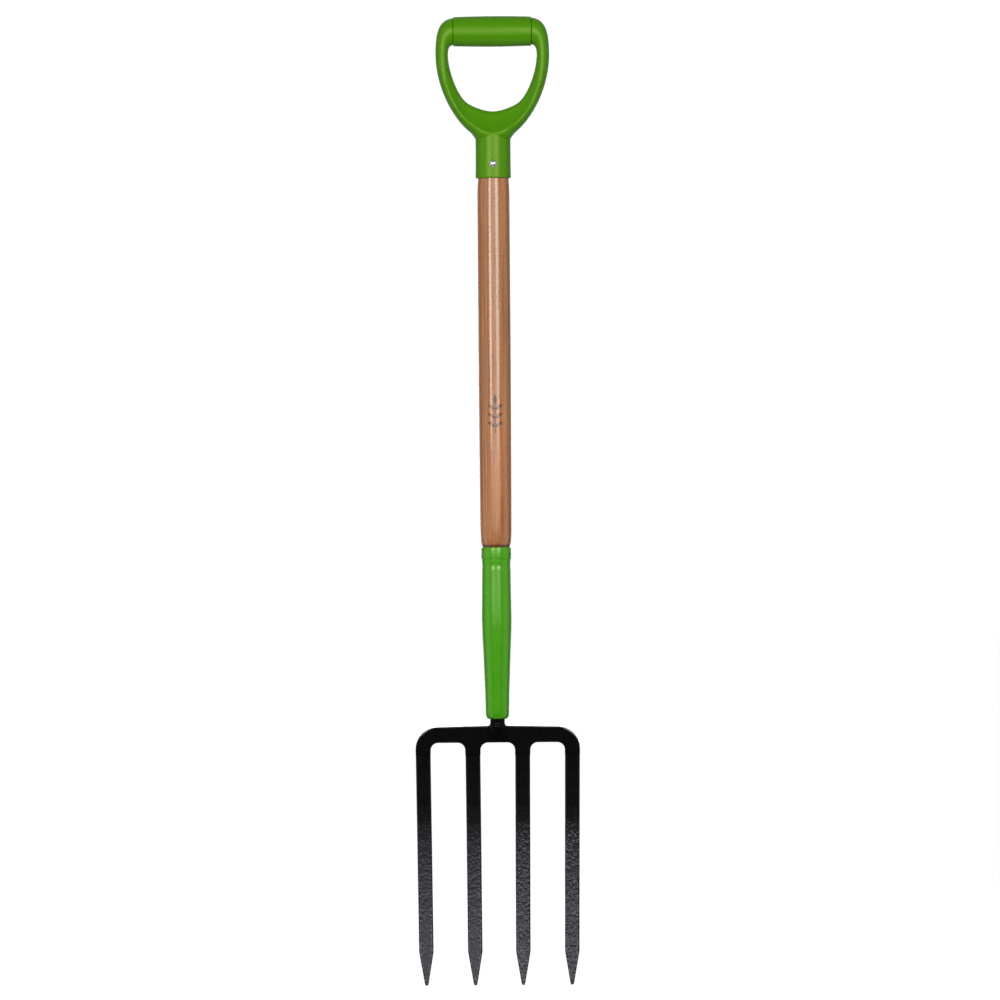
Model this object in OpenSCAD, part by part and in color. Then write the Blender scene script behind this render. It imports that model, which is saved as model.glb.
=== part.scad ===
// Digging fork with a D grip.
// A forged four-tine head is driven by its tang into a hardwood shaft, a drawn steel
// ferrule binds the joint, and a moulded D grip is riveted on the shaft's other end.
//
// Frame: +Z runs up the shaft and -Y is the front, towards which the tines bow.
// The origin is on the shaft's axis at the level of the tine tips. Millimetres.

/* [Overall] */
// Height from the tine tips to the top of the grip bar
overall_h = 1050; // [960:10:1120]

/* [Fork head] */
// Width across the outer tines, just under the shoulder
head_w = 178.4; // [160:0.2:200]
// Length of the tines, from the tips to the shoulder's underside
tine_len = 262; // [230:1:290]
// Width of a tine below the shoulder
tine_w = 16.2; // [14:0.1:18]
// Thickness of a tine at the ridge on its back
tine_t = 9.6; // [8:0.1:11]
// Radius of the tines' forward bow
bow_r = 1000; // [900:10:1400]
// Slope of the head at the shoulder, in degrees
lean_back = 4; // [3:0.1:5]
// Height of the shoulder at its ends
shoulder_h = 17.2; // [15:0.1:20]
// Extra height of the shoulder in its middle
shoulder_crown = 1.4; // [0.5:0.1:3]
// Radius of the shoulder's outer corners
corner_r = 24; // [18:0.5:25]
// Radius where the tines meet the shoulder
slot_r = 8; // [5:0.5:10]
// Length of the tapered point
tip_len = 35; // [25:1:45]
// Width of the blunt end of the point
tip_w = 4; // [3:0.1:6]
// Diameter of the neck between the shoulder and the ferrule
neck_d = 16; // [13:0.1:17]
// Length of the tang above the shoulder
tang_len = 146; // [120:1:160]

/* [Ferrule] */
// Length of the ferrule
ferrule_len = 186.2; // [176:0.2:200]
// Outside diameter between the collar and the belly
ferrule_d = 31.2; // [30:0.1:32]
// Outside diameter of the belly
belly_d = 32.4; // [31.5:0.1:34]
// Outside diameter at the foot
foot_d = 25.4; // [24.8:0.1:28]
// Thickness of the ferrule's sheet
sheet_t = 1.3; // [1:0.1:1.6]
// Height of the rolled collar
collar_h = 12.6; // [10:0.1:15]
// Outside diameter of the rolled collar
collar_d = 32.6; // [32.2:0.1:34]

/* [Shaft] */
// Diameter below the grip
shaft_top_d = 35.4; // [34.6:0.1:36]
// Diameter above the ferrule
shaft_foot_d = 34.2; // [33.6:0.1:35]

/* [Grip] */
// Outside width of the D
grip_w = 123.5; // [118:0.5:130]
// Widest part of the hand opening
opening_w = 96; // [92:0.5:98]
// Length of the bar between the arms
bar_len = 84.3; // [82:0.1:86]
// Diameter of the bar in its middle
bar_mid_d = 33.4; // [32.8:0.1:35]
// Diameter of the bar at its ends
bar_end_d = 31.9; // [31.4:0.1:32.6]
// Outside diameter of the socket, under the D
socket_d = 38; // [37.8:0.1:39]
// Depth of the socket's bore
socket_depth = 43; // [40:1:44]

/* [Fasteners] */
// Diameter of the grip rivet's shank
rivet_d = 5; // [4:0.5:5.5]
// Diameter of the grip rivet's domed head
rivet_head_d = 8.4; // [8:0.2:9]
// Diameter of the tang pin's shank
pin_d = 5; // [4:0.5:5]

/* [Hidden] */
$fn = 96;
snug = 0.05;                 // gap all round between pieces that fit together

// Heights
shoulder_top = tine_len + shoulder_h + shoulder_crown;
ferrule_z = shoulder_top + 6.9;
ferrule_top = ferrule_z + ferrule_len;
bar_z = overall_h - bar_mid_d / 2;
socket_z = bar_z - 159.4;
rivet_z = socket_z + 15.3;
pin_z = ferrule_z + 92;

// The head follows an arc in the YZ plane, whose axis lies in front of the fork
bow_z = shoulder_top - bow_r * sin(lean_back);
bow_y = -bow_r * cos(lean_back);
tip_angle = asin(-bow_z / bow_r);

// Tine section, measured from that arc
face_in = 4.2;               // flat front face, in front of the arc
edge_back = 2;               // where the straight sides end, behind the arc
ridge_back = tine_t - face_in;
tine_pitch = (head_w - tine_w) / 3;
tine_toe = [-0.53, -0.26, 0.26, 0.53];   // degrees that each tine leans inward
proud = 0.25;                // how far the shoulder stands out round the tines' roots

// Joint of the grip
spigot_r = 12.7;
spigot_len = 9;
key_w = 3;
key_rise = 1;
grip_wall = 2.6;
wood_in_socket_r = socket_d / 2 - grip_wall;
rivet_seat = socket_d / 2 - 0.1;         // from the shaft's axis to the rivet's seats
washer_d = 12;
washer_t = 1;

function mirrored(points) = [for (p = points) [-p[0], p[1]]];
function backwards(points) = [for (i = [len(points) - 1:-1:0]) points[i]];
function inward(points, d) = [for (p = points) [p[0] - d, p[1]]];
function arc(centre, r, from, to, steps) = [for (i = [0:steps])
    let (a = from + (to - from) * i / steps) centre + r * [cos(a), sin(a)]];
function bezier(p, t) = pow(1 - t, 3) * p[0] + 3 * pow(1 - t, 2) * t * p[1]
    + 3 * (1 - t) * t * t * p[2] + pow(t, 3) * p[3];

// A round hole or pin along Y, from one y to another
module along_y(d, from, to, z) {
    translate([0, from, z]) rotate([-90, 0, 0]) cylinder(d = d, h = to - from);
}

// ---- Fork head

// Sweeps a section along the bow. The section's x is its distance from the bow's axis,
// and its y runs across the fork.
module along_bow(from, to) {
    translate([0, bow_y, bow_z]) rotate([0, 90, 0]) rotate([0, 0, 90 + from])
        rotate_extrude(angle = to - from, $fn = 256) children();
}

// Stands a front view, drawn in x and z, up as a thick plate
module stand_up() {
    depth = 80;
    translate([0, depth / 2, 0]) rotate([90, 0, 0]) linear_extrude(depth) children();
}

// Flat front with narrow bevels, straight sides, and a low ridge down the back
module tine_section() {
    half = tine_w / 2;
    bevel = 1.5;
    ridge_half = 1.6;
    right = [[bow_r - face_in, half - bevel], [bow_r - face_in + 1.1, half],
             [bow_r + edge_back, half], [bow_r + ridge_back, ridge_half]];
    left = [for (p = right) [p[0], -p[1]]];
    polygon(concat(right, backwards(left)));
}

// Front view of one tine, from its blunt point to the shoulder
module tine_outline() {
    half = tine_w / 2;
    low_half = half - 0.25;
    tip_r = tip_w / 2;
    right = concat(arc([0, tip_r], tip_r, -80, 0, 5), [[low_half - 0.7, tip_len - 3],
        [low_half, tip_len + 2], [half, tine_len - slot_r + 1]]);
    polygon(concat(right, backwards(mirrored(right))));
}

// Side view that thins the last stretch of a tine from its back
module tine_side() {
    thin_from = 70;
    tip_y = bow_y + bow_r * cos(tip_angle);
    thick_y = bow_y + sqrt(bow_r * bow_r - pow(thin_from - bow_z, 2)) + ridge_back + 1;
    polygon([[tip_y - face_in - 1, -1], [tip_y - 0.6, -1], [tip_y + 0.4, 2],
             [thick_y, thin_from], [40, tine_len], [-60, tine_len]]);
}

module tine(i) {
    translate([tine_pitch * (i - 1.5), 0, tine_len]) rotate([0, tine_toe[i], 0])
        translate([0, 0, -tine_len]) intersection() {
            along_bow(tip_angle - 0.3, lean_back) tine_section();
            stand_up() tine_outline();
            translate([-15, 0, 0]) rotate([90, 0, 90]) linear_extrude(30) tine_side();
        }
}

// One slot's rounded top, from its left stem to its right one
function slot_top(x, half, low, stem_low) = concat([[x - half, stem_low]],
    arc([x - half + slot_r, low], slot_r, 180, 90, 8),
    arc([x + half - slot_r, low], slot_r, 90, 0, 8), [[x + half, stem_low]]);

// Front view of the shoulder, with a short stem for each tine
module shoulder_outline() {
    end = head_w / 2;
    low = tine_len - slot_r;
    stem_low = low - 5;
    top = tine_len + shoulder_h;
    half = (tine_pitch - tine_w) / 2 - proud;
    right_corner = arc([end - corner_r, top - corner_r], corner_r, 0, 90, 12);
    polygon(concat([[-end, stem_low]],
        [for (x = [-tine_pitch, 0, tine_pitch]) each slot_top(x, half, low, stem_low)],
        [[end, stem_low]], right_corner, [[0, top + shoulder_crown]],
        backwards(mirrored(right_corner))));
}

module shoulder() {
    intersection() {
        along_bow(-1, 8) translate([bow_r - face_in - proud, -head_w])
            square([tine_t + 2 * proud, 2 * head_w]);
        stand_up() shoulder_outline();
    }
}

// Round neck and tang, as [radius, height]; grown makes the bore that the tang fills
function tang_profile(grown) =
    let (neck_r = neck_d / 2 + grown, end_z = shoulder_top + tang_len + grown)
    [[0, shoulder_top - 15], [3 + grown, shoulder_top - 15],
     [neck_r + 1, shoulder_top - 3], [neck_r + 1.6, shoulder_top - 0.6],
     [neck_r + 0.6, shoulder_top + 0.5], [neck_r, shoulder_top + 2],
     [neck_r, ferrule_z + 2], [neck_r - 0.8, ferrule_z + 14],
     [4.6 + grown, end_z - 12], [1.5 + grown, end_z], [0, end_z]];

module fork_head() color([0.09, 0.09, 0.10]) {
    difference() {
        union() {
            shoulder();
            for (i = [0:3]) tine(i);
            rotate_extrude() polygon(tang_profile(0));
        }
        along_y(pin_d + 2 * snug, -20, 20, pin_z);
    }
}

// ---- Ferrule

// Rounding at its foot, which stays clear of the neck's hole
foot_round = min(4, (foot_d - neck_d) / 2 - 0.6);

// Its side as [radius, height above its foot], from the foot's rounding to the collar
ferrule_side = [
    [foot_d / 2, foot_round + 1.5],
    [foot_d / 2 + 0.5, 28],
    [foot_d / 2 + 1.35, 51],
    [foot_d / 2 + 2.2, 73],
    [belly_d / 2 - 0.3, 95],
    [belly_d / 2, 105],
    [belly_d / 2, 115],
    [belly_d / 2 - 0.25, 123],
    [ferrule_d / 2 + 0.1, 140],
    [ferrule_d / 2, ferrule_len - collar_h - 12],
    [ferrule_d / 2 - 0.25, ferrule_len - collar_h - 7],
    [ferrule_d / 2, ferrule_len - collar_h - 2]
];

module ferrule() color([0.33, 0.63, 0.14]) {
    neck_hole_r = neck_d / 2 + snug;
    foot_r = foot_d / 2 - 0.4;
    collar_r = collar_d / 2;
    collar_round = 0.7;
    outside = concat(
        [[neck_hole_r, 0]],
        arc([foot_r - foot_round, foot_round], foot_round, -90, 0, 6),
        ferrule_side,
        arc([collar_r - collar_round, ferrule_len - collar_h + collar_round], collar_round,
            -90, 0, 4),
        arc([collar_r - collar_round, ferrule_len - collar_round], collar_round, 0, 90, 4));
    inside = concat(
        [[neck_hole_r, sheet_t], [neck_hole_r + 2, sheet_t]],
        inward(ferrule_side, sheet_t),
        [[ferrule_d / 2 - sheet_t, ferrule_len]]);
    difference() {
        translate([0, 0, ferrule_z]) rotate_extrude()
            polygon(concat(outside, backwards(inside)));
        along_y(pin_d + 2 * snug, 0, 30, pin_z);
    }
}

// ---- Shaft

module shaft() color([0.70, 0.47, 0.32]) {
    top_r = shaft_top_d / 2;
    foot_r = shaft_foot_d / 2;
    mouth_r = ferrule_d / 2 - sheet_t - snug;
    wood_foot = ferrule_z + 7;
    wood_top = socket_z + socket_depth - 2;
    in_ferrule = [for (p = inward(ferrule_side, sheet_t + snug)) if (p[1] > 10)
        [p[0], p[1] + ferrule_z]];
    side = concat(
        [[0, wood_foot], [in_ferrule[0][0] - 1.2, wood_foot]],
        in_ferrule,
        [[mouth_r, ferrule_top - 0.3], [mouth_r + 1, ferrule_top + 1.2],
         [foot_r - 0.8, ferrule_top + 5], [foot_r - 0.4, ferrule_top + 10],
         [foot_r, ferrule_top + 20], [top_r, socket_z - 184], [top_r, socket_z - 18],
         [top_r - 0.2, socket_z - 11], [top_r - 0.75, socket_z - 2.5],
         [wood_in_socket_r, socket_z + 6], [wood_in_socket_r, wood_top - 3],
         [wood_in_socket_r - 3, wood_top], [0, wood_top]]);
    difference() {
        rotate_extrude() polygon(side);
        rotate_extrude() polygon(tang_profile(snug));
        along_y(rivet_d + 2 * snug, -30, 30, rivet_z);
        along_y(pin_d + 2 * snug, -10, 30, pin_z);
    }
}

// ---- Grip

// The D is lofted from sections that stand across its outline. t says where a section is:
// 0 to 1 round the top corner, 1 to 2 down the arm, 2 to 3 under the hand opening.
// Each outline is [across, height above the bar's axis].
arm_end_x = bar_len / 2 + 0.2;
boss_r = 15;
outer_x = grip_w / 2;
inner_x = opening_w / 2;
outside_curves = [
    [[arm_end_x, boss_r], [58.4, 13], [outer_x, -1], [outer_x, -25]],
    [[outer_x, -25], [outer_x, -59], [44.6, -93.3], [24.7, -109.6]],
    [[24.7, -109.6], [18.5, -114.7], [19.6, -124], [0, -124]]
];
inside_curves = [
    [[arm_end_x, -boss_r], [46.5, -14.9], [inner_x - 0.1, -17.7], [inner_x, -25]],
    [[inner_x, -25], [inner_x, -42.6], [37.85, -70.5], [27.07, -77.7]],
    [[27.07, -77.7], [20.8, -81.8], [8.5, -86.6], [0, -86.6]]
];
function along(curves, t) = let (i = min(floor(t), 2)) bezier(curves[i], t - i);

// Half depth of a section at its ridge, and how far across it the ridge runs
function half_depth(t) = t < 1 ? boss_r - 2.4 * sin(90 * t)
    : t < 2 ? 12.6 + 1.6 * pow(t - 1, 2)
    : 14.2 + 4.9 * pow(sin(90 * (t - 2)), 1.5);
function ridge_share(t) = t < 1 ? 0.5 - 0.08 * t
    : t < 2 ? 0.42 + 0.24 * sin(90 * (t - 1))
    : 0.66 - 0.01 * (t - 2);

// The side towards the opening turns from round to dished on the way down the arm
function dish(t) = t < 1 ? 0 : t < 2 ? pow(sin(90 * (t - 1)), 2) : 1;
web_half = 5.2;
function inner_depth(t, u) =
    let (d = half_depth(t), rim = min(1, u / 0.24),
         rounded = d * sqrt(1 - pow(1 - u, 2)),
         dished = web_half * sqrt(1 - pow(1 - rim, 2)) + (d - web_half) * pow(u, 1.7))
    rounded + (dished - rounded) * dish(t);

// Front half of a section as [share of the way across, depth], inner edge to outer edge
quarter_steps = 7;
function half_section(t) =
    let (r = ridge_share(t), n = quarter_steps)
    concat([for (i = [0:n]) let (u = 1 - cos(90 * i / n)) [r * u, inner_depth(t, u)]],
           [for (i = [1:n]) [r + (1 - r) * sin(90 * i / n),
                             i == n ? 0 : half_depth(t) * cos(90 * i / n)]]);

// One closed section in space, on the right (side 1) or left (side -1) of the D
function ring(t, side) =
    let (a = along(inside_curves, t), b = along(outside_curves, t), h = half_section(t),
         front = [for (p = h) let (q = a + (b - a) * p[0]) [side * q[0], -p[1], q[1]]],
         back = [for (i = [len(h) - 2:-1:1]) [front[i][0], -front[i][1], front[i][2]]])
    concat(front, back);

corner_steps = 10;
arm_steps = 16;
under_steps = 8;
stations = concat([for (i = [0:corner_steps - 1]) i / corner_steps],
    [for (i = [0:arm_steps - 1]) 1 + i / arm_steps],
    [for (i = [0:under_steps - 1]) 2 + i / under_steps]);

module d_loop() {
    rings = concat([for (t = stations) ring(t, -1)], [ring(3, 1)],
        [for (t = backwards(stations)) ring(t, 1)]);
    n = len(rings[0]);
    last = (len(rings) - 1) * n;
    skin = [for (i = [0:len(rings) - 2]) for (j = [0:n - 1])
        let (a = i * n + j, b = i * n + (j + 1) % n)
        each [[a, a + n, b], [b, a + n, b + n]]];
    caps = [[for (j = [0:n - 1]) j], [for (j = [n - 1:-1:0]) last + j]];
    polyhedron([for (r = rings) each r], concat(skin, caps));
}

// Stub on the inside of an arm that carries the bar, with a key that stops it turning
module bar_spigot(side) {
    root = 4;
    translate([side * (arm_end_x + (root - spigot_len) / 2), 0, bar_z]) rotate([0, 90, 0])
        cylinder(r = spigot_r, h = spigot_len + root, center = true);
    translate([side * (arm_end_x - spigot_len / 2), 0, bar_z + spigot_r])
        cube([spigot_len, key_w, 2 * key_rise], center = true);
}

// Outside of the socket, with a lip at its mouth, closed by a dome inside the web
module socket_body() {
    r = socket_d / 2;
    translate([0, 0, socket_z]) rotate_extrude() polygon([[0, 0], [r - 0.2, 0],
        [r + 0.3, 0.6], [r + 0.1, 8], [r, 20], [r, 47], [16, 51.4], [12.5, 54.4], [8, 58],
        [0, 62]]);
}

module socket_bore() {
    r = wood_in_socket_r + snug;
    translate([0, 0, socket_z]) rotate_extrude() polygon([[0, -1], [r + 1.2, -1],
        [r + 1, 2], [r, 7], [r, socket_depth - 3], [r - 3, socket_depth], [0, socket_depth]]);
}

module grip_yoke() color([0.31, 0.58, 0.03]) {
    difference() {
        union() {
            translate([0, 0, bar_z]) d_loop();
            socket_body();
            for (side = [-1, 1]) bar_spigot(side);
        }
        socket_bore();
        along_y(rivet_d + 2 * snug, -30, 30, rivet_z);
        along_y(rivet_head_d + 0.4, -25, -rivet_seat, rivet_z);
        along_y(washer_d + 0.4, rivet_seat, 25, rivet_z);
    }
}

// Barrel-shaped tube that sits on the two stubs
module grip_bar() color([0.32, 0.60, 0.04]) {
    end_r = bar_end_d / 2;
    round_r = 0.9;
    half = bar_len / 2;
    bulge = (bar_mid_d - bar_end_d) / 2;
    bore_r = spigot_r + snug;
    barrel = [for (i = [-6:6]) [end_r + bulge * (1 - pow(i / 6, 2)), i / 6 * (half - round_r)]];
    difference() {
        translate([0, 0, bar_z]) rotate([0, 90, 0]) rotate_extrude() polygon(concat(
            arc([end_r - round_r, round_r - half], round_r, -90, -15, 3),
            barrel,
            arc([end_r - round_r, half - round_r], round_r, 15, 90, 3),
            [[bore_r, half], [bore_r, -half]]));
        for (side = [-1, 1])
            translate([side * (half - spigot_len / 2), 0, bar_z + spigot_r])
                cube([spigot_len + 1, key_w + 2 * snug, 2 * key_rise + 4 * snug],
                    center = true);
    }
}

// ---- Fasteners

// Rivet with its dome in front, through socket and shaft, closed over the washer behind
module grip_rivet() color([0.78, 0.78, 0.80]) {
    head_r = rivet_head_d / 2;
    dome_h = 2.6;
    dome_r = (head_r * head_r + dome_h * dome_h) / (2 * dome_h);
    front = -rivet_seat - dome_h;
    dome = [for (i = [0:8]) let (a = i / 8 * asin(head_r / dome_r))
        [dome_r * sin(a), front + dome_r * (1 - cos(a))]];
    back = rivet_seat + washer_t;
    tail_r = 3.6;
    translate([0, 0, rivet_z]) rotate([-90, 0, 0]) rotate_extrude() polygon(concat(dome,
        [[rivet_d / 2, -rivet_seat], [rivet_d / 2, back], [tail_r, back],
         [tail_r - 0.2, back + 0.8], [tail_r - 1.2, back + 1.5], [0, back + 1.7]]));
}

module rivet_washer() color([0.74, 0.74, 0.76]) {
    difference() {
        along_y(washer_d, rivet_seat, rivet_seat + washer_t, rivet_z);
        along_y(rivet_d + 2 * snug, 0, 30, rivet_z);
    }
}

// Pin driven from behind through ferrule, wood and tang, stopping short of the front
module tang_pin() color([0.74, 0.74, 0.76]) {
    r = pin_d / 2;
    seat = belly_d / 2 - 0.3;
    translate([0, 0, pin_z]) rotate([-90, 0, 0]) rotate_extrude() polygon([[0, -9.5],
        [r - 0.6, -9.5], [r, -8.5], [r, seat], [3.7, seat + 0.1], [3.5, seat + 0.9],
        [2.2, seat + 1.6], [0, seat + 1.9]]);
}

fork_head();
ferrule();
shaft();
grip_yoke();
grip_bar();
grip_rivet();
rivet_washer();
tang_pin();
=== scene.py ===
"""Looks of a digging fork: forged head, ferrule, wooden shaft and moulded D grip.

Each piece stands exactly where its CAD node does. Lengths in this script are in
millimetres unless a name says otherwise, and meshes are scaled to metres when they are
made. +Z runs up the shaft, -Y is the front, and the shaft's axis is x = y = 0.
"""
import math
from contextlib import contextmanager

import bmesh
import bpy
import numpy as np
from mathutils import Euler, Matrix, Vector, noise


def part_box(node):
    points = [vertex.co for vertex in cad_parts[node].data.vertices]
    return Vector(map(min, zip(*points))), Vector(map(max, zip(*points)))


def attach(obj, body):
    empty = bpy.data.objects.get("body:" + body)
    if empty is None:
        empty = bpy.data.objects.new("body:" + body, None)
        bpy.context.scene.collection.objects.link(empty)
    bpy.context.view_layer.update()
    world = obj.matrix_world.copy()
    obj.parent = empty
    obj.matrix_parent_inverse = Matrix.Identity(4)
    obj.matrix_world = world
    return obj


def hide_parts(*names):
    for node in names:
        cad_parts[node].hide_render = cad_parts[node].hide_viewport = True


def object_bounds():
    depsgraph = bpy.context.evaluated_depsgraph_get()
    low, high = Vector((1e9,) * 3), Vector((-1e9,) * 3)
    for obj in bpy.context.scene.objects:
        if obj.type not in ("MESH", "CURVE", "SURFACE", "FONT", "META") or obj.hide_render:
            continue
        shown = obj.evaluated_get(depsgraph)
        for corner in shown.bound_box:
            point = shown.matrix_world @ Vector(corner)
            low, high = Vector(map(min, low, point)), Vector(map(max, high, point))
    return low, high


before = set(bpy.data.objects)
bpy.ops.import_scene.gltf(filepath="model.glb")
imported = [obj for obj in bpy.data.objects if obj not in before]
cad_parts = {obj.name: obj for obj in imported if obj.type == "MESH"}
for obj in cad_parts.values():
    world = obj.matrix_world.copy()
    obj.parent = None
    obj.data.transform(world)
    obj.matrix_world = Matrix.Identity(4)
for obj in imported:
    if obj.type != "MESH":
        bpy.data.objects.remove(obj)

cad_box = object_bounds()
MM = 0.001


# ---------------------------------------------------------------- places, from the frame

def span(node):
    """Lowest and highest corner of a CAD node."""
    low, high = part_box(node)
    return low / MM, high / MM


ferrule_low, ferrule_high = span("ferrule")
shaft_low, shaft_high = span("shaft")
yoke_low, yoke_high = span("grip_yoke")
bar_low, bar_high = span("grip_bar")
rivet_low, rivet_high = span("grip_rivet")
washer_low, washer_high = span("rivet_washer")
pin_low, pin_high = span("tang_pin")

BAR_Z = (bar_low.z + bar_high.z) / 2
BAR_HALF = bar_high.x
BAR_R = bar_high.z - BAR_Z
SOCKET_Z = yoke_low.z
RIVET_Z = (rivet_low.z + rivet_high.z) / 2
PIN_Z = (pin_low.z + pin_high.z) / 2
FERRULE_LEN = ferrule_high.z - ferrule_low.z
SHAFT_R = shaft_high.x
NECK_SEEN = 6.9              # bare neck between the shoulder and the ferrule
SHOULDER_TOP = ferrule_low.z - NECK_SEEN
SOCKET_BORE_R = 16.4         # also the shaft's end in the socket
RIVET_R, RIVET_HEAD_R = 2.5, 4.2
PIN_R, PIN_HEAD_R = 2.5, 3.7
SNUG = 0.05                  # gap all round between pieces that fit together


# ---------------------------------------------------------------- mesh tools

@contextmanager
def editing(mesh):
    """Opens the mesh for editing and writes it back afterwards."""
    work = bmesh.new()
    work.from_mesh(mesh)
    yield work
    work.to_mesh(mesh)
    work.free()


def add_object(name, data):
    obj = bpy.data.objects.new(name, data)
    bpy.context.scene.collection.objects.link(obj)
    return obj


def make_piece(name, points, faces):
    """A mesh object from points in mm, with its faces turned outward."""
    mesh = bpy.data.meshes.new(name)
    mesh.from_pydata([tuple(MM * c for c in p) for p in points], [], faces)
    with editing(mesh) as work:
        bmesh.ops.recalc_face_normals(work, faces=work.faces)
    return add_object(name, mesh)


def weld(mesh):
    """Makes one corner of corners that lie closer together than a thousandth of a mm."""
    with editing(mesh) as work:
        bmesh.ops.remove_doubles(work, verts=work.verts, dist=0.001 * MM)


def copy_of(node, name):
    """A CAD node's own mesh in a new object, its split corners welded again."""
    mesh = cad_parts[node].data.copy()
    mesh.materials.clear()
    weld(mesh)
    return add_object(name, mesh)


def apply_modifiers(obj):
    depsgraph = bpy.context.evaluated_depsgraph_get()
    made = bpy.data.meshes.new_from_object(obj.evaluated_get(depsgraph))
    obj.modifiers.clear()
    made.name = obj.name
    obj.data = made


def join(target, *others):
    """Puts the other objects' faces into target, as overlapping shells."""
    with editing(target.data) as work:
        for obj in others:
            work.from_mesh(obj.data)
    for obj in others:
        bpy.data.objects.remove(obj)


def melt(obj, voxel, passes):
    """Fuses overlapping shells into one skin, of voxels that many mm wide, and rounds its
    edges and inner corners by that many passes of smoothing."""
    remesh = obj.modifiers.new("Melt", "REMESH")
    remesh.mode = "VOXEL"
    remesh.voxel_size = voxel * MM
    relax = obj.modifiers.new("Relax", "SMOOTH")
    relax.factor = 0.5
    relax.iterations = passes
    apply_modifiers(obj)


def cut(obj, *tools):
    """Takes the tools' space out of obj."""
    for tool in tools:
        hole = obj.modifiers.new("Cut", "BOOLEAN")
        hole.operation = "DIFFERENCE"
        hole.solver = "MANIFOLD"
        hole.object = tool
    apply_modifiers(obj)
    weld(obj.data)
    for tool in tools:
        bpy.data.objects.remove(tool)


def lathe(name, profile, around=128, axis="Z", centre=(0.0, 0.0, 0.0)):
    """Sweeps (radius, height) points round an axis. A profile that leaves the axis out at
    both ends is closed on itself, which makes a tube."""
    turned = {"X": lambda x, y, h: (h, x, y),
              "Y": lambda x, y, h: (x, h, y),
              "Z": lambda x, y, h: (x, y, h)}[axis]
    points, rings = [], []
    for radius, height in profile:
        count = around if radius > 0 else 1
        rings.append([len(points) + i for i in range(count)])
        for i in range(count):
            angle = 2 * math.pi * i / around
            place = turned(radius * math.cos(angle), radius * math.sin(angle), height)
            points.append([a + b for a, b in zip(place, centre)])
    pairs = list(zip(rings, rings[1:]))
    if profile[0][0] > 0 and profile[-1][0] > 0:
        pairs.append((rings[-1], rings[0]))
    faces = []
    for low, high in pairs:
        for i in range(around):
            j = (i + 1) % around
            corners = [low[i % len(low)], low[j % len(low)],
                       high[j % len(high)], high[i % len(high)]]
            face = list(dict.fromkeys(corners))
            if len(face) > 2:
                faces.append(face)
    return make_piece(name, points, faces)


def arc(centre_r, centre_z, radius, start, end, steps):
    """(radius, height) points round a centre, from one angle to another in degrees."""
    angles = [math.radians(start + (end - start) * i / steps) for i in range(steps + 1)]
    return [(centre_r + radius * math.cos(a), centre_z + radius * math.sin(a))
            for a in angles]


def smooth_line(points, step):
    """Points about one step apart on a curve through (radius, height) points. It has no
    bumps of its own: it turns level wherever the points do."""
    radius, height = np.array(points, float).T
    slope = np.diff(radius) / np.diff(height)
    before, after = slope[:-1], slope[1:]
    total = np.where(before + after == 0, 1, before + after)
    inner = np.where(before * after > 0, 2 * before * after / total, 0)
    tangent = np.concatenate([slope[:1], inner, slope[-1:]])
    count = max(2, int(abs(height[-1] - height[0]) / step) + 1)
    z = np.linspace(height[0], height[-1], count)
    i = np.clip(np.searchsorted(height, z) - 1, 0, len(height) - 2)
    gap = height[i + 1] - height[i]
    t = (z - height[i]) / gap
    r = ((1 + 2 * t) * (1 - t) ** 2 * radius[i] + t * (1 - t) ** 2 * gap * tangent[i]
         + t * t * (3 - 2 * t) * radius[i + 1] - t * t * (1 - t) * gap * tangent[i + 1])
    return list(zip(r.tolist(), z.tolist()))


def inward(points, depth):
    return [(radius - depth, height) for radius, height in points]


def at_height(points, base):
    return [(radius, height + base) for radius, height in points]


def rod(name, radius, start, end, around=48, axis="Y", centre=(0, 0, 0)):
    """Straight round bar along an axis."""
    return lathe(name, [(0, start), (radius, start), (radius, end), (0, end)], around, axis,
                 centre)


def cross_hole(name, radius, start, end, height):
    """Tool for a hole from front to back through the axis of the shaft."""
    return rod(name, radius, start, end, centre=(0, 0, height))


def block(name, centre, size):
    """Box round a centre, with its edges along the axes."""
    corners = [[c + s * f / 2 for c, s, f in zip(centre, size, signs)]
               for signs in ((x, y, z) for x in (-1, 1) for y in (-1, 1) for z in (-1, 1))]
    faces = [(0, 1, 3, 2), (4, 6, 7, 5), (0, 4, 5, 1), (2, 3, 7, 6), (0, 2, 6, 4),
             (1, 5, 7, 3)]
    return make_piece(name, corners, faces)


def finish_piece(obj, node, material, sharp_angle=40):
    """Shades the piece, gives it its material and puts it in its CAD node's place."""
    obj.data.materials.clear()
    obj.data.materials.append(material)
    obj.data.shade_smooth()
    obj.data.set_sharp_from_angle(angle=math.radians(sharp_angle))
    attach(obj, "root")
    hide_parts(node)


# ---------------------------------------------------------------- node tools

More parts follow.
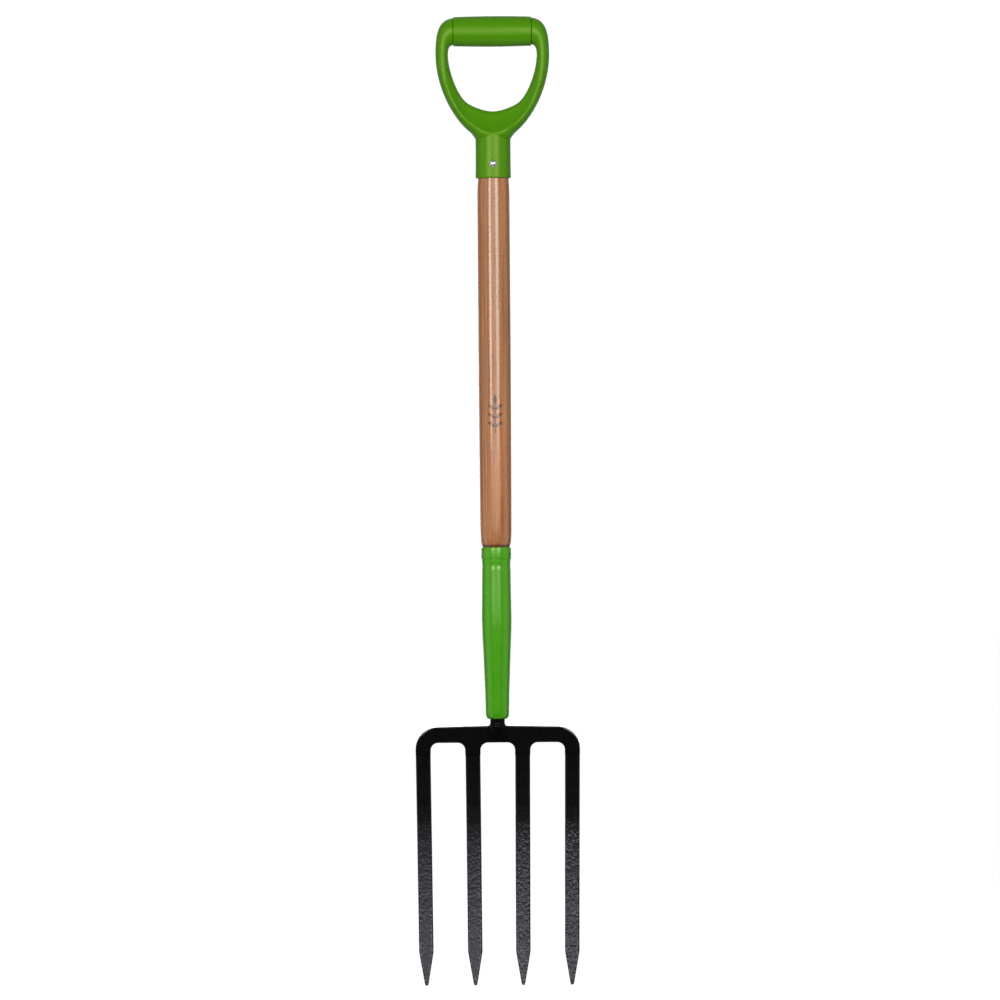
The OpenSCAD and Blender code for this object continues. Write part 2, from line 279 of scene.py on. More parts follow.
class Graph:
    """Short names for building a node tree. Values may be numbers, other sockets, or
    colours as (red, green, blue)."""

    def __init__(self, tree):
        self.tree = tree
        tree.nodes.clear()

    def add(self, kind, inputs=None, **settings):
        node = self.tree.nodes.new(kind)
        for name, value in settings.items():
            setattr(node, name, value)
        for name, value in (inputs or {}).items():
            self.put(node.inputs[name], value)
        return node

    def put(self, socket, value):
        if isinstance(value, bpy.types.NodeSocket):
            self.tree.links.new(value, socket)
        elif isinstance(value, tuple):
            socket.default_value = (*value, 1)
        else:
            socket.default_value = value

    def math(self, operation, *values):
        node = self.tree.nodes.new("ShaderNodeMath")
        node.operation = operation
        for socket, value in zip(node.inputs, values):
            self.put(socket, value)
        return node.outputs[0]

    def add_up(self, first, second):
        return self.math("ADD", first, second)

    def minus(self, first, second):
        return self.math("SUBTRACT", first, second)

    def times(self, first, second):
        return self.math("MULTIPLY", first, second)

    def ramp(self, value, low, high, at_low=0.0, at_high=1.0):
        """Turns smoothly from at_low to at_high while value goes from low to high."""
        node = self.add("ShaderNodeMapRange", interpolation_type="SMOOTHSTEP")
        for name, number in (("Value", value), ("From Min", low), ("From Max", high),
                             ("To Min", at_low), ("To Max", at_high)):
            self.put(node.inputs[name], number)
        return node.outputs["Result"]

    def mix(self, share, first, second, blend="MIX"):
        """The first colour, with that share of the second mixed in."""
        node = self.add("ShaderNodeMix", data_type="RGBA", blend_type=blend)
        self.put(node.inputs[0], share)
        self.put(node.inputs[6], first)
        self.put(node.inputs[7], second)
        return node.outputs[2]

    def in_mm(self, stretch=(1, 1, 1)):
        """The place in the frame, in mm, each axis scaled by its stretch."""
        place = self.add("ShaderNodeTexCoord").outputs["Object"]
        scaled = self.add("ShaderNodeVectorMath", {0: place}, operation="MULTIPLY")
        scaled.inputs[1].default_value = [s / MM for s in stretch]
        return scaled.outputs[0]

    def axes(self, vector):
        node = self.add("ShaderNodeSeparateXYZ", {0: vector})
        return node.outputs[0], node.outputs[1], node.outputs[2]

    def noise(self, vector, scale=1.0, detail=2.0, roughness=0.5):
        return self.add("ShaderNodeTexNoise", {"Vector": vector, "Scale": scale,
                                               "Detail": detail, "Roughness": roughness}
                        ).outputs["Fac"]

    def bump(self, height, strength, distance_mm, base=None):
        node = self.add("ShaderNodeBump", {"Height": height, "Strength": strength,
                                           "Distance": distance_mm * MM})
        if base is not None:
            self.put(node.inputs["Normal"], base)
        return node.outputs["Normal"]

    def surface(self, **inputs):
        """Ends the tree in a Principled surface."""
        names = {name.replace("_", " "): value for name, value in inputs.items()}
        shader = self.add("ShaderNodeBsdfPrincipled", names)
        self.add("ShaderNodeOutputMaterial", {"Surface": shader.outputs[0]})


def new_material(name):
    material = bpy.data.materials.new(name)
    material.use_nodes = True
    return material, Graph(material.node_tree)


# ---------------------------------------------------------------- materials

def forged_paint():
    """Black stoving paint on a forging: smooth and deep black above, hammered on the lower
    tines, and most of all on the right. The lower tines' greyer colour is a painted
    sheen for the light that they reflect."""
    smooth_z, hammered_z = 196, 134
    left_x, right_x, left_share = -45, 70, 0.24
    least = 0.01             # relief of the smooth part
    material, g = new_material("forged_black")
    x, _, z = g.axes(g.in_mm())
    lower = g.ramp(z, smooth_z, hammered_z)
    hammered = g.times(lower, g.ramp(x, left_x, right_x, at_low=left_share))
    dents = g.ramp(g.noise(g.in_mm((1, 1, 0.62)), 0.42, roughness=0.55), 0.46, 0.72)
    pebbles = g.noise(g.in_mm((1, 1, 0.7)), 1.3, roughness=0.6)
    dents_strength = g.math("MULTIPLY_ADD", hammered, 0.75, least)
    pebbles_strength = g.math("MULTIPLY_ADD", hammered, 0.3, least)
    relief = g.bump(dents, dents_strength, distance_mm=0.5)
    relief = g.bump(pebbles, pebbles_strength, distance_mm=0.1, base=relief)
    patches = g.noise(g.in_mm(), 0.09, detail=3.0)
    upper_tone = g.mix(patches, (0.0022, 0.0021, 0.0022), (0.0040, 0.0038, 0.0042))
    # Painted sheen: the lower tines' base colour is made greyer to stand in for the light they
    # reflect
    lower_painted_sheen = g.mix(patches, (0.0095, 0.0099, 0.0132), (0.0150, 0.0157, 0.0208))
    blotches = g.ramp(g.noise(g.in_mm(), 0.8, detail=3.0), 0.3, 0.7, -0.03, 0.03)
    # The neck and the cone under it show hardly any shine
    near_neck = g.times(g.ramp(z, SHOULDER_TOP - 22, SHOULDER_TOP - 14),
                        g.ramp(g.math("ABSOLUTE", x), 13, 9))
    g.surface(Base_Color=g.mix(lower, upper_tone, lower_painted_sheen), Normal=relief,
              Roughness=g.add_up(g.ramp(lower, 0, 1, 0.16, 0.21), blotches),
              Specular_IOR_Level=g.ramp(near_neck, 0, 1, 0.5, 0.06),
              Specular_Tint=(0.93, 0.94, 1.0))
    return material


def ferrule_paint():
    """Gloss green powder coat with a faint orange peel."""
    material, g = new_material("ferrule_green")
    place = g.in_mm()
    tone = g.mix(g.noise(place, 0.05), (0.050, 0.315, 0.0015), (0.058, 0.340, 0.0025))
    peel = g.bump(g.noise(place, 0.25, detail=1.0), strength=0.1, distance_mm=0.04)
    roughness = g.ramp(g.noise(place, 0.08), 0.3, 0.7, 0.21, 0.26)
    g.surface(Base_Color=tone, Roughness=roughness, Normal=peel,
              Specular_IOR_Level=0.8, Specular_Tint=(1.0, 1.0, 0.62))
    return material


def grip_plastic(name):
    """Satin moulded polypropylene with a fine spark-eroded grain."""
    material, g = new_material(name)
    place = g.in_mm()
    tone = g.mix(g.noise(place, 0.06), (0.050, 0.206, 0.0), (0.056, 0.222, 0.0))
    grain = g.bump(g.noise(place, 2.6, roughness=0.6), strength=0.3, distance_mm=0.035)
    roughness = g.ramp(g.noise(place, 0.5, detail=3.0), 0.3, 0.7, 0.36, 0.43)
    g.surface(Base_Color=tone, Roughness=roughness, Normal=grain,
              Specular_IOR_Level=0.48, Specular_Tint=(1.0, 1.0, 0.35))
    return material


def sprig_mask(g, bottom_z):
    """1 on a plain sprig of paired leaves on the shaft's front, 0 elsewhere."""
    leaf_gap, pairs, leaf_long, leaf_wide, leaf_rise = 9.5, 3, 4.3, 1.75, 35
    leaf_out, leaf_up = 4.1, 0.62 * leaf_gap     # a leaf's centre from the stem and its foot
    top_leaf_up = pairs * leaf_gap + 4.5
    stem_half, stem_foot, stem_end = 0.45, -4, pairs * leaf_gap + 2
    soft = 0.12
    x, y, z = g.axes(g.in_mm())
    front = g.ramp(y, 0.5, -0.5)
    across = g.math("ABSOLUTE", x)
    up = g.minus(z, bottom_z)

    def ellipse(u, v, long_half, wide_half):
        a = g.math("DIVIDE", u, long_half)
        b = g.math("DIVIDE", v, wide_half)
        return g.ramp(g.add_up(g.times(a, a), g.times(b, b)), 1 + soft, 1 - soft)

    def between(value, low, high):
        return g.times(g.ramp(value, low - soft, low + soft),
                       g.ramp(value, high + soft, high - soft))

    in_pair = g.minus(g.math("MODULO", up, leaf_gap), leaf_up)
    out = g.minus(across, leaf_out)
    cos_rise, sin_rise = math.cos(math.radians(leaf_rise)), math.sin(math.radians(leaf_rise))
    along_leaf = g.add_up(g.times(out, cos_rise), g.times(in_pair, sin_rise))
    across_leaf = g.minus(g.times(in_pair, cos_rise), g.times(out, sin_rise))
    leaves = g.times(ellipse(along_leaf, across_leaf, leaf_long, leaf_wide),
                     between(up, 0.4, pairs * leaf_gap))
    top_leaf = ellipse(g.minus(up, top_leaf_up), x, leaf_long + 0.6, leaf_wide + 0.1)
    stem = g.times(g.ramp(across, stem_half + 0.15, stem_half - 0.15),
                   between(up, stem_foot, stem_end))
    shape = g.math("MAXIMUM", g.math("MAXIMUM", leaves, top_leaf), stem)
    return g.times(shape, front)


def growth_rings(g):
    """How far each place is through its year's growth, 0 to 1. The pith lies outside the
    shaft, so the rings run nearly straight."""
    pith_x, pith_y, ring_width, wobble_rings = -41, 23, 4.6, 5.0
    wobble = g.noise(g.in_mm((0.02, 0.02, 0.0035)))
    x, y, _ = g.axes(g.in_mm())
    from_pith = g.math("SQRT", g.add_up(g.math("POWER", g.minus(x, pith_x), 2.0),
                                        g.math("POWER", g.minus(y, pith_y), 2.0)))
    rings = g.add_up(g.math("DIVIDE", from_pith, ring_width), g.times(wobble, wobble_rings))
    return g.math("FRACT", rings)


def lacquered_wood():
    """Straight-grained reddish hardwood under clear lacquer, with a burnt-in sprig."""
    sprig_z = 601
    # The dark band above the ferrule's mouth is painted shade where the wood turns under into
    # it, with some grime
    dark_band_from, dark_band_to = 4.2, 1.8      # dark band above the ferrule's mouth
    pale_from, pale_to, pale_by = 690, 560, 1.22
    material, g = new_material("shaft_wood")
    z = g.axes(g.in_mm())[2]
    late_wood = g.math("POWER", growth_rings(g), 3.0)
    streaks = g.noise(g.in_mm((0.55, 0.55, 0.006)), detail=4.0, roughness=0.6)
    fibres = g.noise(g.in_mm((1.25, 1.25, 0.03)), detail=3.0, roughness=0.6)
    pores = g.ramp(g.noise(g.in_mm((2.6, 2.6, 0.2)), detail=1.0), 0.62, 0.71)
    patches = g.noise(g.in_mm((0.11, 0.11, 0.008)))
    blush = g.noise(g.in_mm((0.07, 0.07, 0.012)), 1.7)
    mark = sprig_mask(g, sprig_z)
    char = g.ramp(g.noise(g.in_mm((1.6, 1.6, 0.35)), detail=3.0), 0.3, 0.7, 0.62, 0.9)
    brown, tan = (0.245, 0.084, 0.023), (0.440, 0.188, 0.073)

    tone = g.mix(g.ramp(streaks, 0.36, 0.64), brown, tan)
    tone = g.mix(g.times(late_wood, 0.45), tone, (0.200, 0.062, 0.016))
    tone = g.mix(g.ramp(fibres, 0.38, 0.66, 0.0, 0.42), tone, (0.200, 0.068, 0.019))
    tone = g.mix(g.ramp(patches, 0.35, 0.65, 0.0, 0.45), tone, (0.480, 0.212, 0.078))
    tone = g.mix(g.ramp(blush, 0.45, 0.7, 0.0, 0.35), tone, (0.320, 0.135, 0.070))
    tone = g.mix(g.times(pores, 0.62), tone, (0.085, 0.030, 0.012))
    paler = g.ramp(z, pale_from, pale_to, 1.0, pale_by)
    paler_grey = g.add("ShaderNodeCombineColor", {0: paler, 1: paler, 2: paler}).outputs[0]
    tone = g.mix(1.0, tone, paler_grey, "MULTIPLY")
    # Painted shade with some grime darkens the wood just above the ferrule's mouth
    grime_and_shade = g.ramp(z, ferrule_high.z + dark_band_from, ferrule_high.z + dark_band_to, 0.0, 0.75)
    tone = g.mix(grime_and_shade, tone, (0.060, 0.026, 0.011))
    tone = g.mix(g.times(mark, char), tone, (0.045, 0.020, 0.014))

    grain = g.add_up(g.times(pores, -1.0), g.times(fibres, 0.5))
    relief = g.bump(grain, strength=0.35, distance_mm=0.04)
    relief = g.bump(g.times(mark, -1.0), strength=0.6, distance_mm=0.12, base=relief)
    g.surface(Base_Color=tone, Roughness=g.ramp(streaks, 0.3, 0.7, 0.34, 0.44),
              Normal=relief, Specular_IOR_Level=0.3, Coat_Weight=0.95, Coat_Roughness=0.15,
              Coat_Tint=(1.0, 0.965, 0.92))
    return material


def zinc(name, dullness, marks_scale):
    """Zinc-plated steel with small marks from setting."""
    material, g = new_material(name)
    place = g.in_mm()
    cloud = g.noise(place, 0.9, detail=3.0)
    tone = g.mix(cloud, (0.66, 0.68, 0.72), (0.86, 0.88, 0.91))
    marks = g.bump(g.noise(place, marks_scale, detail=3.0), strength=0.35, distance_mm=0.05)
    roughness = g.ramp(cloud, 0.3, 0.7, dullness - 0.05, dullness + 0.07)
    g.surface(Base_Color=tone, Metallic=1.0, Roughness=roughness, Normal=marks)
    return material


# ---------------------------------------------------------------- fork head

def forged_skin(obj):
    """Moves the skin by the shallow waves and hammer dents of a forging. The dents lie
    mostly on the lower tines. The neck stays as it is, and the tips nearly so."""
    wave, waves_per_mm = 0.04, 0.07
    dent, dents_per_mm, least_dent = 0.11, 0.42, 0.03
    mesh = obj.data
    place = np.empty(len(mesh.vertices) * 3, np.float32)
    mesh.vertices.foreach_get("co", place)
    place = place.reshape(-1, 3)
    normal = np.array([n.vector[:] for n in mesh.vertex_normals])
    mm = place / MM
    z = mm[:, 2]
    lower = np.clip((195 - z) / 75, 0, 1)
    below_neck = np.clip((SHOULDER_TOP - 1 - z) / 4, 0, 1)
    away_from_tip = np.clip(z / 12, 0.2, 1)
    waves = np.array([noise.noise(Vector(p) * waves_per_mm) for p in mm])
    dents = np.array([noise.noise(Vector(p) * dents_per_mm) for p in mm])
    dents = dents * (least_dent + (1 - least_dent) * lower)
    shift = (wave * waves + dent * dents) * below_neck * away_from_tip
    mesh.vertices.foreach_set("co", (place + normal * shift[:, None] * MM).ravel())
    mesh.update()


def fork_head():
    head = copy_of("fork_head", "forged_head")
    melt(head, 0.85, 4)
    forged_skin(head)
    finish_piece(head, "fork_head", forged_paint(), 60)


# ---------------------------------------------------------------- ferrule

SHEET = 1.3                  # thickness of the ferrule's sheet
COLLAR_H = 12.6
FOOT_R = 12.7
BELLY_R = 16.2
MOUTH_R = 15.6
NECK_R = 8


def ferrule_side():
    """The ferrule's side between its foot's rounding and its collar, from the foot up."""
    groove_z = FERRULE_LEN - COLLAR_H - 7
    return [(FOOT_R, 5.5), (FOOT_R + 0.5, 28), (FOOT_R + 1.35, 51), (FOOT_R + 2.2, 73),
            (BELLY_R - 0.3, 95), (BELLY_R, 106), (BELLY_R, 110), (BELLY_R - 0.15, 123),
            (MOUTH_R + 0.18, 142), (MOUTH_R, 162),
            (MOUTH_R, groove_z - 5), (MOUTH_R - 0.25, groove_z), (MOUTH_R, groove_z + 5)]


def ferrule():
    """Drawn cup with a hole for the neck in its foot and a rolled collar at its mouth."""
    collar_r, collar_round, foot_round = ferrule_high.x, 0.7, 4
    collar_edge_r = collar_r - collar_round
    collar_foot = FERRULE_LEN - COLLAR_H
    foot_edge_r = FOOT_R - 0.4 - foot_round
    neck_hole = NECK_R + SNUG
    side = smooth_line(ferrule_side(), 1.2)
    outside = ([(neck_hole, 0)]
               + arc(foot_edge_r, foot_round, foot_round, -90, 0, 10)
               + side
               + arc(collar_edge_r, collar_foot + collar_round, collar_round, -90, 0, 6)
               + arc(collar_edge_r, FERRULE_LEN - collar_round, collar_round, 0, 90, 6))
    inside = ([(neck_hole, SHEET), (neck_hole + 2, SHEET)] + inward(side, SHEET)
              + [(MOUTH_R - SHEET, FERRULE_LEN)])
    profile = at_height(outside + inside[::-1], ferrule_low.z)
    cup = lathe("ferrule_cup", profile, 160)
    cut(cup, cross_hole("pin_hole", PIN_R + SNUG, 0, 30, PIN_Z))
    finish_piece(cup, "ferrule", ferrule_paint())


# ---------------------------------------------------------------- shaft

TANG_REACH = 146             # from the top of the shoulder to the tang's end


def tang_bore():
    """The hole that the tang fills, from the axis at its end to the wood's foot."""
    neck_r = NECK_R + SNUG
    end_z = SHOULDER_TOP + TANG_REACH + SNUG
    return [(0, end_z), (1.5 + SNUG, end_z), (4.6 + SNUG, end_z - 12),
            (neck_r - 0.8, ferrule_low.z + 14), (neck_r - 0.38, shaft_low.z)]


def wood_in_ferrule():
    """The wood's side as far as the ferrule's mouth, all the way against the sheet."""
    bevel_r, bevel_h = 1.2, 3
    against_sheet = inward(smooth_line(ferrule_side(), 4), SHEET + SNUG)
    side = [p for p in at_height(against_sheet, ferrule_low.z) if p[1] > shaft_low.z + bevel_h]
    return [(side[0][0] - bevel_r, shaft_low.z)] + side


def bare_wood():
    """The wood's side between the ferrule's mouth and the socket's."""
    above_mouth_r = SHAFT_R - 0.6
    mouth = ferrule_high.z
    return smooth_line([
        (MOUTH_R - SHEET - SNUG + 1, mouth + 1.2), (above_mouth_r - 1.2, mouth + 3.4),
        (above_mouth_r - 0.7, mouth + 5.6), (above_mouth_r - 0.4, mouth + 10),
        (above_mouth_r, mouth + 20), (SHAFT_R, SOCKET_Z - 184), (SHAFT_R, SOCKET_Z - 18),
        (SHAFT_R - 0.2, SOCKET_Z - 11), (SHAFT_R - 0.75, SOCKET_Z - 2.5)], 2)


def wooden_shaft():
    top_bevel = 3
    wood_in_mouth = [(MOUTH_R - SHEET - SNUG, ferrule_high.z - 0.3)]
    wood_in_socket = [(SOCKET_BORE_R, SOCKET_Z + 6), (SOCKET_BORE_R, shaft_high.z - top_bevel),
                      (SOCKET_BORE_R - top_bevel, shaft_high.z), (0, shaft_high.z)]
    profile = tang_bore() + wood_in_ferrule() + wood_in_mouth + bare_wood() + wood_in_socket
    shaft = lathe("wooden_shaft", profile, 160)
    cut(shaft, cross_hole("rivet_hole", RIVET_R + SNUG, -30, 30, RIVET_Z),
        cross_hole("pin_hole", PIN_R + SNUG, -10, 30, PIN_Z))
    finish_piece(shaft, "shaft", lacquered_wood())


# ---------------------------------------------------------------- grip yoke

# The D's outline as Bezier curves, [across, height above the bar's axis]: round the top
# corner, down the arm, and under the hand opening to the middle
BOSS_R = 15
ARM_END_X = BAR_HALF + 0.2
OUTER_X = yoke_high.x
INNER_X = 48
OUTSIDE = (((ARM_END_X, BOSS_R), (58.4, 13), (OUTER_X, -1), (OUTER_X, -25)),
           ((OUTER_X, -25), (OUTER_X, -59), (44.6, -93.3), (24.7, -109.6)),
           ((24.7, -109.6), (18.5, -114.7), (19.6, -124), (0, -124)))
INSIDE = (((ARM_END_X, -BOSS_R), (46.5, -14.9), (INNER_X - 0.1, -17.7), (INNER_X, -25)),
          ((INNER_X, -25), (INNER_X, -42.6), (37.85, -70.5), (27.07, -77.7)),
          ((27.07, -77.7), (20.8, -81.8), (8.5, -86.6), (0, -86.6)))
CURVE_STEPS = 40             # sections of the D on each curve
ARM_TOP_DEPTH, ARM_FOOT_DEPTH, MIDDLE_DEPTH = 12.6, 14.2, 19.1   # half of the D's depth
WEB_HALF = 5.2               # half of the web's thickness at the hand opening
SPIGOT_R = 12.7
SPIGOT_LEN = 9
KEY_WIDE, KEY_HIGH = 3, 2
SOCKET_R = 19
RIVET_SEAT = SOCKET_R - 0.1  # how far the rivet's two seats lie from the shaft's axis


def along(curves, t):
    """Point at t on a chain of Bezier curves, each one unit long."""
    i = min(int(t), len(curves) - 1)
    a, b, c, d = (np.array(p, float) for p in curves[i])
    u = t - i
    return (1 - u) ** 3 * a + 3 * (1 - u) ** 2 * u * b + 3 * (1 - u) * u * u * c + u ** 3 * d


def quarter_sine(t):
    return math.sin(math.pi / 2 * t)


def half_depth(t):
    """Half of the D's depth at its ridge."""
    if t < 1:
        return BOSS_R + (ARM_TOP_DEPTH - BOSS_R) * quarter_sine(t)
    if t < 2:
        return ARM_TOP_DEPTH + (ARM_FOOT_DEPTH - ARM_TOP_DEPTH) * (t - 1) ** 2
    swell = max(0.0, quarter_sine(t - 2)) ** 1.5
    return ARM_FOOT_DEPTH + (MIDDLE_DEPTH - ARM_FOOT_DEPTH) * swell


def ridge_share(t):
    """How far across the section its ridge runs, from the opening outward."""
    if t < 1:
        return 0.5 - 0.08 * t
    if t < 2:
        return 0.42 + 0.24 * quarter_sine(t - 1)
    return 0.66 - 0.01 * (t - 2) - 0.035 * math.sin(math.pi * (t - 2))


def inner_depth(t, share):
    """Depth between the opening's edge and the ridge: round on top, dished below."""
    rim_share, dish_power = 0.24, 1.7
    dish = 0 if t < 1 else quarter_sine(t - 1) ** 2 if t < 2 else 1
    depth = half_depth(t)
    rim = min(1, share / rim_share)
    rounded = depth * math.sqrt(1 - (1 - share) ** 2)
    dished = (WEB_HALF * math.sqrt(1 - (1 - rim) ** 2)
              + (depth - WEB_HALF) * share ** dish_power)
    return rounded + (dished - rounded) * dish


def section(t, side):
    """One closed section of the D in space."""
    steps = 18
    ridge = ridge_share(t)
    half = []
    for i in range(steps + 1):
        share = 1 - math.cos(math.pi / 2 * i / steps)
        half.append((ridge * share, inner_depth(t, share)))
    for i in range(1, steps + 1):
        turn = math.pi / 2 * i / steps
        half.append((ridge + (1 - ridge) * math.sin(turn), half_depth(t) * math.cos(turn)))
    inner, outer = along(INSIDE, t), along(OUTSIDE, t)
    ring = []
    for share, depth in half:
        x, z = inner + (outer - inner) * share
        ring.append((side * x, -depth, BAR_Z + z))
    back = [(x, -y, z) for x, y, z in ring[-2:0:-1]]
    ring[-1] = (ring[-1][0], 0.0, ring[-1][2])
    return ring + back


def d_loop():
    """The D from one end of the bar round to the other, closed at both ends."""
    stations = [i / CURVE_STEPS for i in range(len(OUTSIDE) * CURVE_STEPS)]
    rings = ([section(t, -1) for t in stations] + [section(len(OUTSIDE), 1)]
             + [section(t, 1) for t in reversed(stations)])
    count = len(rings[0])
    points = [p for ring in rings for p in ring]
    faces = []
    for i in range(len(rings) - 1):
        for j in range(count):
            a, b = i * count + j, i * count + (j + 1) % count
            faces.append((a, b, b + count, a + count))
    last = (len(rings) - 1) * count
    faces.append(tuple(range(count)))
    faces.append(tuple(range(last, last + count)))
    return make_piece("yoke_moulding", points, faces)


def socket_solid():
    """Outside of the socket, with a lip at its mouth and a dome inside the web."""
    r = SOCKET_R
    side = [(r - 0.2, 0), (r + 0.3, 0.6), (r + 0.1, 8), (r, 20), (r, 47), (16, 51.4),
            (12.5, 54.4), (8, 58)]
    return lathe("socket", at_height([(0, 0)] + side + [(0, 62)], SOCKET_Z))


def spigot(side):
    """Stub for the bar's end, rooted in the arm."""
    root = 4
    start, end = sorted((side * (ARM_END_X + root), side * (ARM_END_X - SPIGOT_LEN)))
    return rod("spigot", SPIGOT_R, start, end, 96, "X", (0, 0, BAR_Z))


def key(side, grown):
    """Key on top of a spigot, which stops the bar turning."""
    return block("key", (side * (ARM_END_X - SPIGOT_LEN / 2), 0, BAR_Z + SPIGOT_R),
                 (SPIGOT_LEN + 2 * grown, KEY_WIDE + 2 * grown, KEY_HIGH + 4 * grown))


def socket_bore():
    """Tool for the shaft's place in the socket, with a flared mouth."""
    bore_r, depth, lead_in, end_bevel = SOCKET_BORE_R + SNUG, 43, 1.2, 3
    return lathe("bore", at_height([(0, -2), (bore_r + lead_in, -2), (bore_r + lead_in, -1),
                                    (bore_r + 1, 2), (bore_r, 7), (bore_r, depth - end_bevel),
                                    (bore_r - end_bevel, depth), (0, depth)], SOCKET_Z))


def grip_yoke():
    seat_gap = 0.2
    yoke = d_loop()
    stubs = [part for side in (-1, 1) for part in (spigot(side), key(side, 0))]
    join(yoke, socket_solid(), *stubs)
    melt(yoke, 0.64, 7)
    cut(yoke, socket_bore(),
        cross_hole("rivet_hole", RIVET_R + SNUG, -30, 30, RIVET_Z),
        cross_hole("head_seat", RIVET_HEAD_R + seat_gap, -25, -RIVET_SEAT, RIVET_Z),
        cross_hole("washer_seat", washer_high.x + seat_gap, RIVET_SEAT, 25, RIVET_Z))
    finish_piece(yoke, "grip_yoke", grip_plastic("grip_plastic"), 50)


# ---------------------------------------------------------------- grip bar

def grip_bar():
    """Barrel-shaped tube on the two spigots, with a rounded edge at each end."""
    end_r, round_r, steps = BAR_R - 0.75, 0.3, 24
    bore_r = SPIGOT_R + SNUG
    reach = BAR_HALF - round_r
    barrel = [(end_r + (BAR_R - end_r) * (1 - (i / steps) ** 2), i / steps * reach)
              for i in range(-steps, steps + 1)]
    profile = (arc(end_r - round_r, -reach, round_r, -90, -8, 5) + barrel
               + arc(end_r - round_r, reach, round_r, 8, 90, 5)
               + [(bore_r, BAR_HALF), (bore_r, -BAR_HALF)])
    bar = lathe("grip_barrel", profile, 160, "X", (0, 0, BAR_Z))
    cut(bar, key(-1, SNUG), key(1, SNUG))
    finish_piece(bar, "grip_bar", grip_plastic("bar_plastic"))


# ---------------------------------------------------------------- fasteners

def grip_rivet():
    """Domed head in front, and a closed tail behind the washer."""
    tail_r, steps = 3.6, 16
    front, back = rivet_low.y, washer_high.y
    dome_h = -RIVET_SEAT - front
    dome_r = (RIVET_HEAD_R ** 2 + dome_h ** 2) / (2 * dome_h)
    rim = math.degrees(math.asin(RIVET_HEAD_R / dome_r))
    turns = [math.radians(rim * i / steps) for i in range(steps + 1)]
    dome = [(dome_r * math.sin(turn), front + dome_r * (1 - math.cos(turn)))
            for turn in turns]
    tail = [(RIVET_R, back), (tail_r, back), (tail_r, back + 0.3), (tail_r - 0.2, back + 0.8),
            (tail_r - 0.6, back + 1.2), (tail_r - 1.2, back + 1.5), (0, rivet_high.y)]
    profile = dome + [(RIVET_R, -RIVET_SEAT)] + tail
    rivet = lathe("dome_rivet", profile, 64, "Y", (0, 0, RIVET_Z))
    finish_piece(rivet, "grip_rivet", zinc("zinc_bright", 0.26, 1.2), 50)


def rivet_washer():
    hole_r, rim_r, edge = RIVET_R + SNUG, washer_high.x, 0.2
    near, far = washer_low.y, washer_high.y
    profile = [(hole_r, near), (rim_r - edge, near), (rim_r, near + edge),
               (rim_r, far - edge), (rim_r - edge, far), (hole_r, far)]
    washer = lathe("plain_washer", profile, 96, "Y", (0, 0, RIVET_Z))
    finish_piece(washer, "rivet_washer", zinc("zinc_washer", 0.3, 2.2), 50)


def tang_pin():
    """Pin with a bevelled point inside the wood and a head on the ferrule's back."""
    seat = BELLY_R - 0.3
    profile = [(0, pin_low.y), (PIN_R - 0.6, pin_low.y), (PIN_R, pin_low.y + 1),
               (PIN_R, seat), (PIN_HEAD_R, seat + 0.1), (PIN_HEAD_R, seat + 0.45),
               (PIN_HEAD_R - 0.2, seat + 0.9), (PIN_HEAD_R - 0.7, seat + 1.3),
               (PIN_HEAD_R - 1.5, seat + 1.6), (0, pin_high.y)]
    pin = lathe("cross_pin", profile, 64, "Y", (0, 0, PIN_Z))
    finish_piece(pin, "tang_pin", zinc("pin_steel", 0.28, 1.6), 50)


# ---------------------------------------------------------------- studio

# Azimuth 0 is in front of the object and 90 on its right. A brightness of 1 is white.
# The soft boxes all hang at the same distance and face the shaft.
BOX_DISTANCE_M = 2.0
SOFT_BOXES = (               # name, azimuth, width, foot and top in metres, brightness
    ("left_strip", -27, 0.46, 0.58, 1.9, 11.0),
    ("right_strip", 22, 0.66, 0.58, 1.9, 8.2),
    ("wide_box", -3, 1.2, 0.39, 1.9, 1.6),
    ("rear_box", 180, 1.0, 0.2, 1.9, 3.2),
)
# What the object sees of the room: azimuth, half width, soft edge, lowest, highest and
# soft edge in degrees, then brightness
ROOM = (
    (0, 180, 5, 55, 100, 12, 0.35),       # ceiling
    (0, 180, 5, -100, -62, 12, 1.0),      # pale floor
    (80, 25, 12, -40, 50, 15, 0.8),       # right wall
    (-80, 25, 12, -40, 50, 15, 0.9),      # left wall
    (152, 20, 7, -40, 60, 10, 0.6),       # backdrop, right of the object
    (-152, 20, 7, -40, 60, 10, 0.65),     # backdrop, left of the object
    (180, 10, 7, -40, 60, 10, 0.3),       # backdrop straight behind
)
ROOM_ELSEWHERE = 0.012
BACKGROUND_WHITE = 1.05      # what the camera sees round the object


def studio_world():
    """Lights the object by ROOM, and shows the camera a plain white background."""
    world = bpy.data.worlds.new("studio")
    world.use_nodes = True
    bpy.context.scene.world = world
    g = Graph(world.node_tree)
    direction = g.add("ShaderNodeTexCoord").outputs["Generated"]
    x, y, z = g.axes(direction)
    azimuth = g.math("DEGREES", g.math("ARCTAN2", x, g.times(y, -1.0)))
    height = g.math("DEGREES", g.math("ARCSINE", z))
    total = ROOM_ELSEWHERE
    for centre, half, soft, low, high, soft_rise, brightness in ROOM:
        turn = g.math("ABSOLUTE", g.math("WRAP", g.minus(azimuth, centre), 180.0, -180.0))
        wide = g.ramp(turn, half + soft, half - soft)
        rise = g.ramp(height, low - soft_rise, low + soft_rise)
        fall = g.ramp(height, high + soft_rise, high - soft_rise)
        total = g.math("MULTIPLY_ADD", g.times(g.times(wide, rise), fall), brightness, total)
    room = g.add("ShaderNodeBackground", {"Strength": total})
    white = g.add("ShaderNodeBackground", {"Color": (1, 1, 1), "Strength": BACKGROUND_WHITE})
    seen = g.add("ShaderNodeLightPath").outputs["Is Camera Ray"]
    shown = g.add("ShaderNodeMixShader", {0: seen, 1: room.outputs[0], 2: white.outputs[0]})
    g.add("ShaderNodeOutputWorld", {"Surface": shown.outputs[0]})


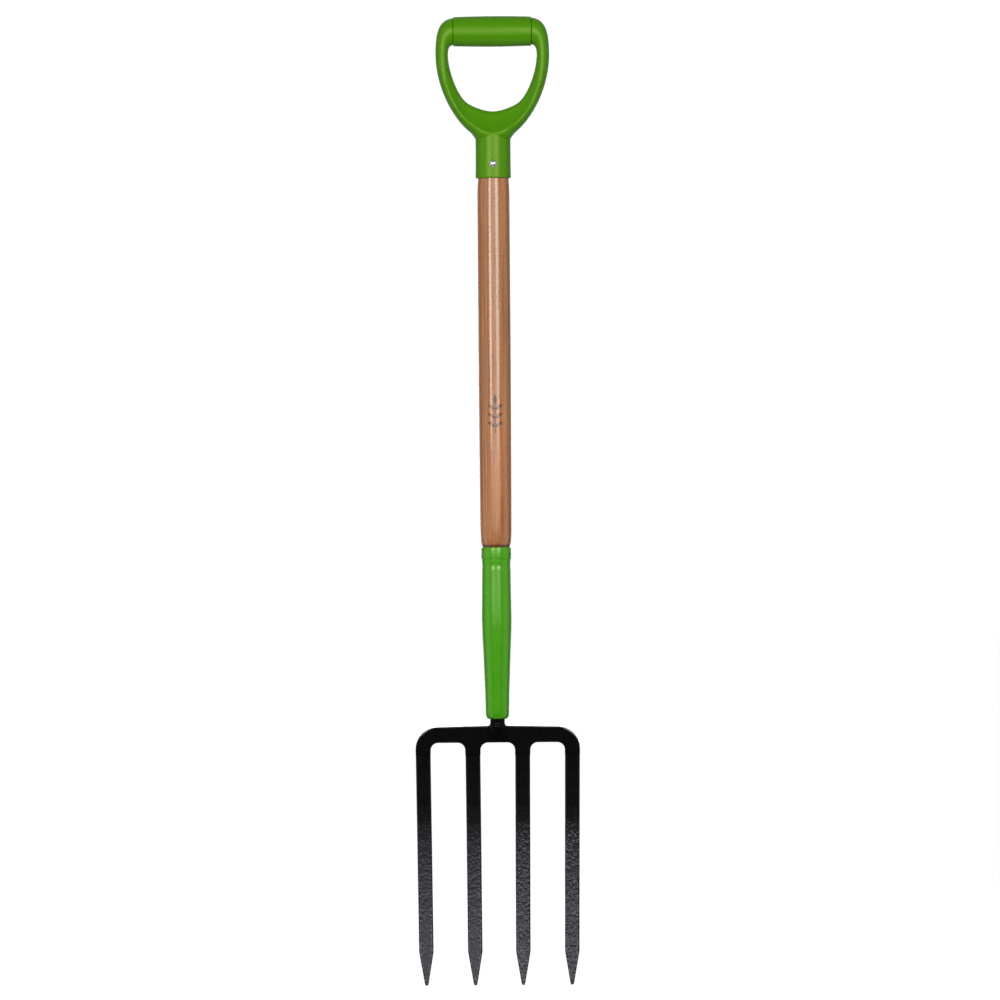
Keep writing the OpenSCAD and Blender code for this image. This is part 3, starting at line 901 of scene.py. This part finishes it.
def studio_boxes():
    for name, azimuth, width, foot, top, brightness in SOFT_BOXES:
        data = bpy.data.lights.new(name, "AREA")
        data.shape = "RECTANGLE"
        data.size, data.size_y = width, top - foot
        data.energy = brightness * math.pi * width * (top - foot)
        box = add_object(name, data)
        turn = math.radians(azimuth)
        box.location = (BOX_DISTANCE_M * math.sin(turn), -BOX_DISTANCE_M * math.cos(turn),
                        (foot + top) / 2)
        box.rotation_euler = Euler((math.radians(90), 0, turn), "XYZ")
        box.visible_camera = False


def studio_floor():
    """White floor that takes only a faint shadow. Only the camera sees it, and it blocks
    no light: the floor that the object sees is in ROOM."""
    reach, glow_strength, matt_share = 20000, 1.1, 0.12
    floor = make_piece("floor", [(-reach, -reach, 0), (reach, -reach, 0),
                                 (reach, reach, 0), (-reach, reach, 0)], [(0, 1, 2, 3)])
    material, g = new_material("floor_white")
    glow = g.add("ShaderNodeEmission", {"Color": (1, 1, 1), "Strength": glow_strength})
    matt = g.add("ShaderNodeBsdfDiffuse", {"Color": (0.9, 0.9, 0.9)})
    both = g.add("ShaderNodeMixShader",
                 {0: matt_share, 1: glow.outputs[0], 2: matt.outputs[0]})
    g.add("ShaderNodeOutputMaterial", {"Surface": both.outputs[0]})
    floor.data.materials.append(material)
    floor.visible_glossy = False
    floor.visible_diffuse = False
    floor.visible_shadow = False


def studio_camera():
    """Level camera in front of the fork, at half its height, very slightly tilted."""
    distance_m, view_height_m, aside_m, tilt = 8.0, 1.08477, 0.00455, 0.45
    cad_low, cad_high = cad_box
    data = bpy.data.cameras.new("camera")
    data.sensor_width = 36
    data.lens = data.sensor_width / 2 / (view_height_m / 2 / distance_m)
    camera = add_object("camera", data)
    camera.location = (aside_m, -distance_m, (cad_low.z + cad_high.z) / 2)
    camera.rotation_euler = Euler((math.radians(90), math.radians(tilt), 0), "XYZ")
    bpy.context.scene.camera = camera
    bpy.context.scene.view_settings.view_transform = "Standard"


fork_head()
ferrule()
wooden_shaft()
grip_yoke()
grip_bar()
grip_rivet()
rivet_washer()
tang_pin()
studio_world()
studio_boxes()
studio_floor()
studio_camera()
